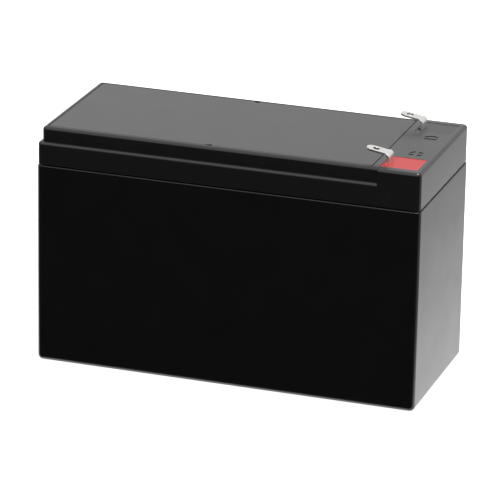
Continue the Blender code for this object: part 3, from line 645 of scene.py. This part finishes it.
class BATTERY_OT_lid(bpy.types.Operator):
    """Model the lid: bands, ledge, recess, vent necks, wells and polarity marks"""

    bl_idname = "battery.lid"
    bl_label = "Lid"

    def execute(self, context):
        sizes = context.scene.battery_sizes
        gap = sizes.clearance
        low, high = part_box("lid")
        glue_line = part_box("container")[1].z + gap
        ceiling = glue_line + sizes.pocket
        blank = lid_blank(sizes, low, high, glue_line)
        lips, pockets = bmesh.new(), bmesh.new()
        for number in CELLS:
            room = cell_box(number, sizes.clearance)
            lip_low, lip_high = grown(room, -gap)
            add_box(lips, (*lip_low.xy, low.z), (*lip_high.xy, ceiling - sizes.pocket / 2))
            pocket_low, pocket_high = grown(room, -gap - sizes.lip_wall)
            add_box(pockets, (*pocket_low.xy, low.z - PAST), (*pocket_high.xy, ceiling))
        recess_low, recess_high = grown(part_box("cover_plate"), gap)
        recess, chamber = bmesh.new(), bmesh.new()
        add_box(recess, recess_low, (*recess_high.xy, high.z + PAST))
        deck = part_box("vent_cap_1")[0].z - gap
        room_low, room_high = grown((recess_low, recess_high), -sizes.plate_shelf)
        add_box(chamber, (*room_low.xy, deck), (*room_high.xy, recess_low.z + gap))
        necks, bores = bmesh.new(), bmesh.new()
        for number in CELLS:
            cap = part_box(f"vent_cap_{number}")
            neck_top = cap[1].z - sizes.cap_roof - gap
            add_upright(necks, middle_of(cap), sizes.neck, (deck + ceiling) / 2, neck_top)
            add_upright(bores, middle_of(cap), sizes.vent_bore, ceiling - PAST, neck_top + PAST)
        steps = [("UNION", lips), ("DIFFERENCE", pockets), ("DIFFERENCE", recess)]
        steps += [("DIFFERENCE", chamber), ("UNION", necks), ("DIFFERENCE", bores)]
        for name in ("positive", "negative"):
            well = well_box(name, gap)
            steps.append(("DIFFERENCE", well_shape(sizes, well, well[0].z, high.z + PAST)))
            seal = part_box(f"{name}_post_seal")
            seat = bmesh.new()
            radius = (seal[1].x - seal[0].x) / 2 + gap
            add_upright(seat, middle_of(seal), radius, seal[0].z - gap, well[0].z + PAST / 2)
            hole = bmesh.new()
            add_upright(hole, middle_of(seal), sizes.post + gap, ceiling - PAST, seal[1].z)
            steps += [("DIFFERENCE", seat), ("DIFFERENCE", hole)]
            steps.append(("DIFFERENCE", mark_shape(sizes, name, high.z)))
        bm = combine(blank, steps)
        rims = [edge for edge in bm.edges if lies_at(edge, high.z) and is_ridge(edge)]
        round_edges(bm, rims, sizes.opening_edge, segments=3)
        colour = context.scene.battery_colours.lid
        material = moulded_abs("moulded_abs_lid", colour, roughness=0.26, cloud=9 * MM)
        finish_piece("lid_shell", bm, material, "case_plastic", "lid")
        return {"FINISHED"}


class BATTERY_OT_cover_plate(bpy.types.Operator):
    """Model the flush cover plate with a pry notch in each long edge"""

    bl_idname = "battery.cover_plate"
    bl_label = "Cover plate"

    def execute(self, context):
        sizes = context.scene.battery_sizes
        low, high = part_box("cover_plate")
        bm = bmesh.new()
        add_box(bm, low, high)
        uprights = [edge for edge in bm.edges if is_upright(edge)]
        round_edges(bm, uprights, sizes.plate_corner, segments=6)
        notches = bmesh.new()
        notch_x = middle_of((low, high)).x
        for y in (low.y, high.y):
            add_upright(notches, (notch_x, y), sizes.notch, low.z - PAST, high.z + PAST)
        bm = combine(bm, [("DIFFERENCE", notches)])
        rim = [edge for edge in bm.edges if lies_at(edge, high.z) and is_ridge(edge)]
        round_edges(bm, rim, sizes.plate_edge, segments=3)
        colour = context.scene.battery_colours.lid
        material = moulded_abs("moulded_abs_plate", colour, roughness=0.25, cloud=11 * MM)
        finish_piece("cover_plate_moulding", bm, material, "case_plastic", "cover_plate")
        return {"FINISHED"}


def strip_spans(strip, foot_length, leg_height):
    """The strip's middle line from the foot's end to the tip, as lengths and how far each one turns."""
    upper_turn = math.pi / 2 - strip.tilt
    tab = (strip.reach - strip.bend * (1 - math.cos(upper_turn))) / math.cos(strip.tilt)
    return [
        (foot_length - strip.bend, 0),
        (strip.bend * math.pi / 2, -math.pi / 2),
        (leg_height - strip.bend, 0),
        (strip.bend * upper_turn, upper_turn),
        (tab, 0),
    ]


def bent_point(spans, foot_length, flat):
    """Where a point of the flat strip goes when the strip is bent along its spans."""
    x, z, heading = foot_length, 0.0, math.pi
    left = flat.x
    for length, turn in spans:
        run = min(left, length)
        if turn:
            curve = turn / length
            x += (math.sin(heading + curve * run) - math.sin(heading)) / curve
            z += (math.cos(heading) - math.cos(heading + curve * run)) / curve
            heading += curve * run
        else:
            x += run * math.cos(heading)
            z += run * math.sin(heading)
        left -= run
        if left <= 0:
            break
    return Vector((x + flat.z * math.sin(heading), flat.y, z - flat.z * math.cos(heading)))


def flat_strip(strip, spans, foot_length, post_reach, leg_hole_height):
    """The stamped blank of a terminal, laid flat along X with its foot's end at zero."""
    foot_run, lower_bend, leg_run, upper_bend, tab_run = (length for length, _ in spans)
    leg_top = foot_run + lower_bend + leg_run
    total = leg_top + upper_bend + tab_run
    narrowing = (strip.leg - strip.tab) / 2
    # The upper bend already reaches part of the way to the shoulder
    shoulder = leg_top + upper_bend + (strip.shoulder - strip.bend * (1 - math.sin(strip.tilt)))
    half = [
        (0, strip.foot / 2),
        (foot_run, strip.foot / 2),
        (foot_run, strip.leg / 2),
        (shoulder - narrowing, strip.leg / 2),
        (shoulder, strip.tab / 2),
        (total, strip.tab / 2),
    ]
    outline = half + [(x, -y) for x, y in reversed(half)]
    bm = bmesh.new()
    face = add_face(bm, [(x, y, -strip.thickness / 2) for x, y in outline])
    foot_end = [vert for vert in face.verts if vert.co.x < SAME_POINT]
    tip = [vert for vert in face.verts if vert.co.x > total - SAME_POINT]
    round_corners(bm, foot_end, strip.foot_corner, segments=6)
    round_corners(bm, tip, strip.tip_corner, segments=10)
    bm.faces.ensure_lookup_table()
    raise_face(bm, bm.faces[0], strip.thickness)
    bmesh.ops.recalc_face_normals(bm, faces=bm.faces)
    holes = bmesh.new()
    add_cylinder(holes, (foot_length - post_reach, 0, 0), strip.post_hole, PAST)
    leg_hole = foot_run + lower_bend + leg_hole_height - strip.bend
    add_cylinder(holes, (leg_hole, 0, 0), strip.leg_hole, PAST)
    add_cylinder(holes, (total - strip.tab_hole_setback, 0, 0), strip.tab_hole, PAST)
    bm = combine(bm, [("DIFFERENCE", holes)])
    sheared = [edge for edge in bm.edges if is_ridge(edge) and not is_upright(edge)]
    round_edges(bm, sheared, strip.sheared_edge, segments=3)
    start = foot_run
    for bend, run in ((lower_bend, leg_run), (upper_bend, 0)):
        for step in range(strip.bend_segments + 1):
            place = start + bend * step / strip.bend_segments
            everything = [*bm.verts, *bm.edges, *bm.faces]
            bmesh.ops.bisect_plane(bm, geom=everything, plane_co=(place, 0, 0), plane_no=(1, 0, 0))
        start += bend + run
    return bm


class BATTERY_OT_terminals(bpy.types.Operator):
    """Model the two bent strips with their feet, legs and tabs"""

    bl_idname = "battery.terminals"
    bl_label = "Terminals"

    def execute(self, context):
        strip = context.scene.battery_terminals
        lid_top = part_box("lid")[1].z
        material = tin_plate(context.scene.battery_colours.tin_plate)
        for name in ("positive", "negative"):
            low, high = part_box(f"{name}_terminal")
            leg_x = low.x + strip.reach
            foot_z = low.z + strip.thickness / 2
            post_x = middle_of(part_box(f"{name}_post")).x
            foot_length = high.x - leg_x
            spans = strip_spans(strip, foot_length, lid_top + strip.leg_rise - foot_z)
            leg_hole = lid_top - strip.leg_hole_drop - foot_z
            bm = flat_strip(strip, spans, foot_length, post_x - leg_x, leg_hole)
            for vert in bm.verts:
                vert.co = bent_point(spans, foot_length, vert.co)
            bmesh.ops.translate(bm, verts=bm.verts, vec=(leg_x, middle_of((low, high)).y, foot_z))
            bmesh.ops.recalc_face_normals(bm, faces=bm.faces)
            finish_piece(f"{name}_tab_strip", bm, material, "tin_plate", f"{name}_terminal")
        return {"FINISHED"}


def outside_distance(x, y, box):
    """How far a place lies outside a box on plan."""
    away_x = max(box[0].x - x, 0, x - box[1].x)
    away_y = max(box[0].y - y, 0, y - box[1].y)
    return math.hypot(away_x, away_y)


def resin_body(sizes, well, bottom, top, leg, drip):
    """Resin that climbs a little up the well's walls and the leg, and bulges at a drip if it has one."""
    size = well[1] - well[0]
    steps = [round(length / RESIN_STEP) for length in size.xy]
    bm = bmesh.new()
    place = Matrix.Translation(middle_of(well)) @ Matrix.Diagonal((size.x / 2, size.y / 2, 1, 1))
    bmesh.ops.create_grid(bm, x_segments=steps[0], y_segments=steps[1], size=1, matrix=place)
    for vert in bm.verts:
        x, y = vert.co.xy
        to_wall = min(x - well[0].x, well[1].x - x, y - well[0].y, well[1].y - y)
        to_leg = outside_distance(x, y, leg)
        at_wall = math.exp(-to_wall / sizes.meniscus_reach)
        at_leg = sizes.leg_climb * math.exp(-to_leg / sizes.meniscus_reach)
        vert.co.z = top + sizes.meniscus * min(at_wall + at_leg, 1)
        if drip:
            away = (vert.co.xy - drip).length / sizes.drip_reach
            vert.co.z += sizes.drip * math.exp(-away * away)
    rim = [edge for edge in bm.edges if edge.is_boundary]
    made = bmesh.ops.extrude_edge_only(bm, edges=rim)["geom"]
    for item in made:
        if isinstance(item, bmesh.types.BMVert):
            item.co.z = bottom
    bmesh.ops.contextual_create(bm, geom=[e for e in made if isinstance(e, bmesh.types.BMEdge)])
    bmesh.ops.recalc_face_normals(bm, faces=bm.faces)
    return bm


def burst_bubble(sizes, place):
    """The room of a bubble that burst at the surface: long along Y, and wider inside than its mouth."""
    bm = bmesh.new()
    sunk = place - Vector((0, 0, sizes.bubble / 2))
    shape = Matrix.Translation(sunk) @ Matrix.Diagonal((1, sizes.bubble_stretch, 1, 1))
    bmesh.ops.create_icosphere(bm, subdivisions=3, radius=sizes.bubble, matrix=shape)
    return bm


class BATTERY_OT_resins(bpy.types.Operator):
    """Model the cast resin in both wells, shaped round the terminals and posts"""

    bl_idname = "battery.resins"
    bl_label = "Resins"

    def execute(self, context):
        sizes = context.scene.battery_sizes
        strip = context.scene.battery_terminals
        colours = context.scene.battery_colours
        for name, slot in (("positive", "red_resin"), ("negative", "black_resin")):
            node = f"{name}_resin"
            low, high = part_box(node)
            well = grown((low, high), sizes.clearance)
            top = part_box("lid")[1].z - sizes.resin_drop
            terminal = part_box(f"{name}_terminal")
            leg = Vector((terminal[0].x + strip.reach, middle_of(terminal).y, top))
            half = Vector((strip.thickness / 2, strip.leg / 2, 0))
            drip = None
            if name == "positive":
                drip = (leg - half).xy - Vector((sizes.drip_aside, sizes.drip_along))
            bm = resin_body(sizes, well, low.z, top, (leg - half, leg + half), drip)
            tab = bmesh.new()
            tab.from_mesh(bpy.data.objects[f"{name}_tab_strip"].data)
            steps = [("DIFFERENCE", tab), ("DIFFERENCE", merged_copy(f"{name}_post"))]
            if name == "negative":
                aside = Vector((-sizes.bubble_aside, sizes.bubble_along - strip.leg / 2, 0))
                steps.append(("DIFFERENCE", burst_bubble(sizes, leg + aside)))
            bm = combine(bm, steps)
            material = cast_epoxy(f"cast_epoxy_{slot}", getattr(colours, slot))
            finish_piece(f"{name}_potting", bm, material, slot, node)
        return {"FINISHED"}


class BATTERY_OT_inner_finishes(bpy.types.Operator):
    """Give the caps, seals, posts, welds, plates and mats inside their own finishes"""

    bl_idname = "battery.inner_finishes"
    bl_label = "Inner finishes"

    def execute(self, context):
        colours = context.scene.battery_colours
        rubber = valve_rubber(colours.valve_rubber)
        lead = cast_lead(colours.lead)
        finishes = {
            "vent_cap": rubber,
            "post_seal": rubber,
            "post": lead,
            "weld": lead,
            "positive_plates": plate_paste("lead_dioxide_paste", colours.positive_paste),
            "negative_plates": plate_paste("sponge_lead_paste", colours.negative_paste),
            "separator": glass_mat(colours.glass_mat),
        }
        for name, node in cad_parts.items():
            fitting = [finish for word, finish in finishes.items() if word in name]
            if fitting:
                node.material_slots[0].material = fitting[0]
        return {"FINISHED"}


def lit_paper(start, near, end, far):
    """White paper round the battery: brightest beside it, and fading outwards along X."""
    material = bpy.data.materials.new("lit_white_paper")
    material.use_nodes = True
    tree = material.node_tree
    tree.nodes.clear()
    place = add_node(tree, "ShaderNodeTexCoord")
    parts = add_node(tree, "ShaderNodeSeparateXYZ", links={"Vector": place.outputs["Object"]})
    out = add_node(tree, "ShaderNodeMath", links={0: parts.outputs["X"]}, operation="ABSOLUTE")
    strength = add_node(
        tree,
        "ShaderNodeMapRange",
        links={"Value": out.outputs["Value"]},
        inputs={"From Min": start, "From Max": end, "To Min": near, "To Max": far},
    )
    light = add_node(tree, "ShaderNodeEmission", links={"Strength": strength.outputs["Result"]})
    add_node(tree, "ShaderNodeOutputMaterial", links={"Surface": light.outputs["Emission"]})
    return material


def show_in_gloss_only(lit):
    """Keeps a lit sheet or lamp out of the picture and off matt surfaces: only reflections see it."""
    lit.visible_camera = False
    lit.visible_diffuse = False
    lit.visible_shadow = False


class BATTERY_OT_stage(bpy.types.Operator):
    """Set the floor, the studio light and the camera"""

    bl_idname = "battery.stage"
    bl_label = "Stage"

    def execute(self, context):
        studio = context.scene.battery_studio
        self.add_floor(context, studio)
        self.add_paper(studio)
        self.add_lamp(studio)
        self.light(context, studio)
        self.add_camera(context, studio)
        context.scene.view_settings.view_transform = "Standard"
        return {"FINISHED"}

    def add_floor(self, context, studio):
        """A wide white floor. The battery's gloss mirrors the paper and the world instead of it."""
        bm = bmesh.new()
        bmesh.ops.create_grid(bm, x_segments=1, y_segments=1, size=studio.floor_size / 2)
        floor = add_object("floor", bm)
        colour = context.scene.battery_colours.floor
        glow = {"Emission_Color": WHITE, "Emission_Strength": studio.floor_glow}
        material, _, _ = new_material(
            "matt_white_floor", colour, roughness=0.9, Specular_IOR_Level=0, **glow
        )
        floor.data.materials.append(material)
        floor.visible_glossy = False

    def add_paper(self, studio):
        """The paper that the end face mirrors. It stops short of the front, which mirrors the dark."""
        low, high = CAD_BOX
        front = low[1] - studio.paper_margin
        reach = studio.paper_reach
        bm = bmesh.new()
        corners = [(-reach, front), (reach, front), (reach, reach), (-reach, reach)]
        add_face(bm, [(x, y, studio.paper_lift) for x, y in corners])
        paper = add_object("paper", bm)
        fade_end = high[0] + studio.paper_fade
        paper.data.materials.append(lit_paper(high[0], studio.paper_near, fade_end, studio.paper_far))
        show_in_gloss_only(paper)

    def add_lamp(self, studio):
        """A small lamp above the terminal end, for the glints on the lid's corner and the tabs."""
        bm = bmesh.new()
        place = Matrix.Translation(studio.lamp_place)
        bmesh.ops.create_circle(
            bm, cap_ends=True, segments=ROUND_SEGMENTS, radius=studio.lamp, matrix=place
        )
        lamp = add_object("lamp", bm)
        glow = {"Emission_Color": WHITE, "Emission_Strength": studio.lamp_strength}
        material, _, _ = new_material("lamp_diffuser", (0, 0, 0), roughness=1, **glow)
        lamp.data.materials.append(material)
        show_in_gloss_only(lamp)

    def light(self, context, studio):
        """The world's soft light: dark before the battery, bright behind it and overhead."""
        world = bpy.data.worlds.new("studio")
        context.scene.world = world
        world.use_nodes = True
        tree = world.node_tree
        tree.nodes.clear()
        place = add_node(tree, "ShaderNodeTexCoord")
        parts = add_node(tree, "ShaderNodeSeparateXYZ", links={"Vector": place.outputs["Generated"]})
        behind = add_node(
            tree,
            "ShaderNodeMapRange",
            links={"Value": parts.outputs["Y"]},
            inputs=LIGHT_BY_DEPTH,
        )
        leaning = add_node(
            tree,
            "ShaderNodeMapping",
            links={"Vector": place.outputs["Generated"]},
            inputs={"Rotation": (studio.world_lean, 0, 0)},
        )
        height = add_node(tree, "ShaderNodeSeparateXYZ", links={"Vector": leaning.outputs["Vector"]})
        above = add_node(
            tree,
            "ShaderNodeMapRange",
            links={"Value": height.outputs["Z"]},
            inputs=LIGHT_BY_HEIGHT,
        )
        brighter = add_node(
            tree,
            "ShaderNodeMath",
            links={0: behind.outputs["Result"], 1: above.outputs["Result"]},
            operation="MAXIMUM",
        )
        light = add_node(
            tree,
            "ShaderNodeBackground",
            links={"Strength": brighter.outputs["Value"]},
            inputs={"Color": WHITE},
        )
        add_node(tree, "ShaderNodeOutputWorld", links={"Surface": light.outputs["Background"]})
        # Rays off the surfaces find this even light without sampling of its own
        world.cycles.sampling_method = "NONE"

    def add_camera(self, context, studio):
        """The photo's camera, placed by its angles round its target."""
        lens = bpy.data.cameras.new("camera")
        lens.lens = studio.lens
        camera = bpy.data.objects.new("camera", lens)
        context.scene.collection.objects.link(camera)
        across = math.cos(studio.elevation)
        away = Vector(
            (
                math.sin(studio.azimuth) * across,
                -math.cos(studio.azimuth) * across,
                math.sin(studio.elevation),
            )
        )
        aim = (-away).to_track_quat("-Z", "Y").to_matrix() @ Matrix.Rotation(studio.roll, 3, "Z")
        place = Vector(studio.target) + away * studio.distance
        camera.matrix_world = Matrix.Translation(place) @ aim.to_4x4()
        context.scene.camera = camera


class BATTERY_PT_panel(bpy.types.Panel):
    """Sizes, colours and the operators, in the 3D view's sidebar"""

    bl_idname = "BATTERY_PT_panel"
    bl_label = "Sealed battery"
    bl_space_type = "VIEW_3D"
    bl_region_type = "UI"
    bl_category = "Battery"

    def draw(self, context):
        for name in SETTINGS:
            settings = getattr(context.scene, name)
            box = self.layout.box()
            box.label(text=settings.__doc__ or name)
            for key in settings.__annotations__:
                box.prop(settings, key)
        for operator in OPERATORS:
            self.layout.operator(operator.bl_idname)


SETTINGS = {
    "battery_sizes": BatterySizes,
    "battery_terminals": TerminalSizes,
    "battery_colours": BatteryColours,
    "battery_studio": StudioSettings,
}
OPERATORS = (
    BATTERY_OT_container,
    BATTERY_OT_lid,
    BATTERY_OT_cover_plate,
    BATTERY_OT_terminals,
    BATTERY_OT_resins,
    BATTERY_OT_inner_finishes,
    BATTERY_OT_stage,
)
CLASSES = (*SETTINGS.values(), *OPERATORS, BATTERY_PT_panel)


def register():
    for made in CLASSES:
        bpy.utils.register_class(made)
    for name, group in SETTINGS.items():
        setattr(bpy.types.Scene, name, PointerProperty(type=group))


def unregister():
    for name in SETTINGS:
        delattr(bpy.types.Scene, name)
    for made in reversed(CLASSES):
        bpy.utils.unregister_class(made)


def main():
    register()
    bpy.ops.battery.container()
    bpy.ops.battery.lid()
    bpy.ops.battery.cover_plate()
    bpy.ops.battery.terminals()
    bpy.ops.battery.resins()
    bpy.ops.battery.inner_finishes()
    bpy.ops.battery.stage()


if __name__ == "__main__":
    main()
